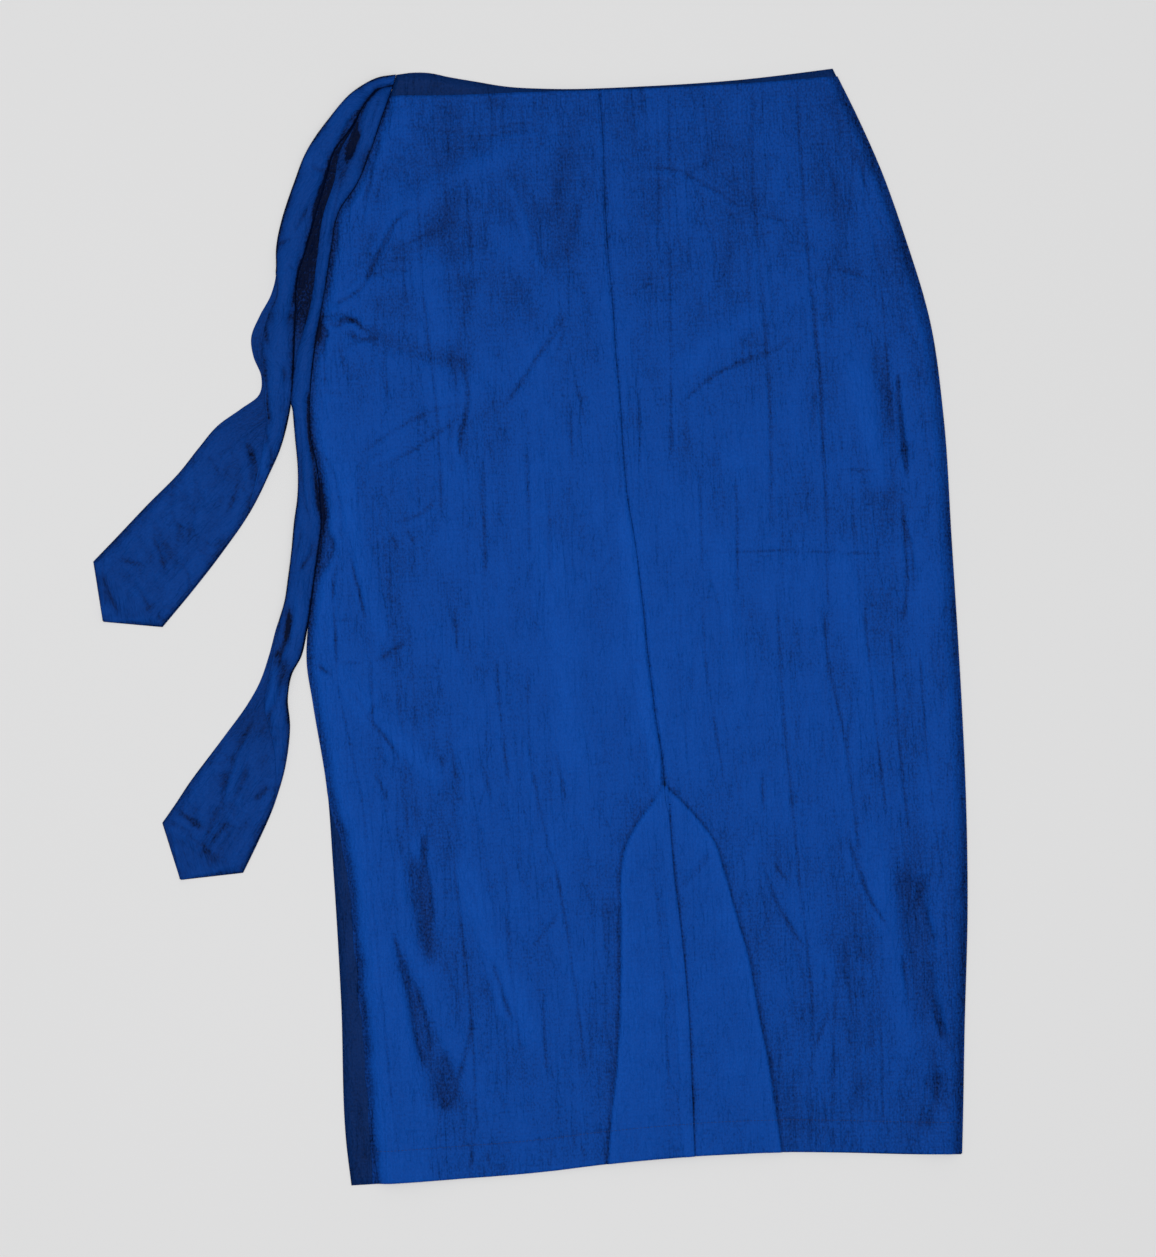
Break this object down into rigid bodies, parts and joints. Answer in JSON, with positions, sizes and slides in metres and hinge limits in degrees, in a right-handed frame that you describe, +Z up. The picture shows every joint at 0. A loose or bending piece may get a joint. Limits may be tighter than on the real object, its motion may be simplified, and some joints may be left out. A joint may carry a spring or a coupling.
{
  "type": "midi skirt",
  "caption": "Midi skirt with a centre back kick pleat, an open side and long pointed side ties, laid flat with its back up.",
  "frame": {"origin": "on the floor, under the middle of the box round the skirt and its ties", "axes": "+Z up from the floor out of the skirt's back, +Y towards the waist, +X to the right of a viewer who looks down on the back with the waist at the top"},
  "size_m": [0.6282, 0.808, 0.0071],
  "materials": {
    "panel_taffeta": "crinkled cobalt blue taffeta with a soft sheen",
    "tie_taffeta": "crinkled cobalt blue taffeta, doubled and pressed"
  },
  "bodies": {
    "root": {"front_panel": "panel_taffeta", "back_panel_left": "panel_taffeta", "back_panel_right": "panel_taffeta", "pleat_underlay": "panel_taffeta", "tie_upper": "tie_taffeta", "tie_lower": "tie_taffeta"}
  },
  "joints": []
}
